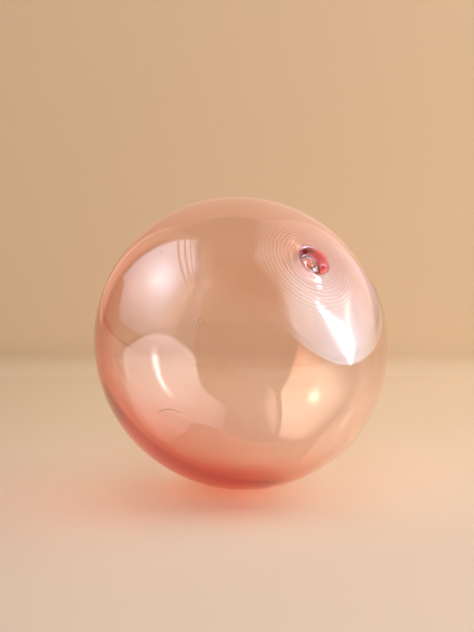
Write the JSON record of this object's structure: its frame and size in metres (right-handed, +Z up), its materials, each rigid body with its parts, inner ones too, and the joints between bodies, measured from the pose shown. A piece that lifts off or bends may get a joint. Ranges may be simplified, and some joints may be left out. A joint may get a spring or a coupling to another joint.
{
  "type": "glass sphere",
  "caption": "Sealed hand-blown glass ball in clear pink lustre glass, with a small twisted seal well on its upper side and a small ground flat under it.",
  "frame": {"origin": "middle of the underside, on the small ground flat that the ball rests on", "axes": "+Z up from the flat, -Y towards the front; the seal faces the front, right and up, 42.5 degrees round from -Y to +X and 43.9 degrees above the horizontal"},
  "size_m": [0.099, 0.0988, 0.0972],
  "materials": {
    "pink_glass": "clear pink glass with a thin iridescent lustre, fire-polished, redder low on the left where the wall is thick"
  },
  "bodies": {
    "root": {"glass_sphere": "pink_glass"}
  },
  "joints": []
}
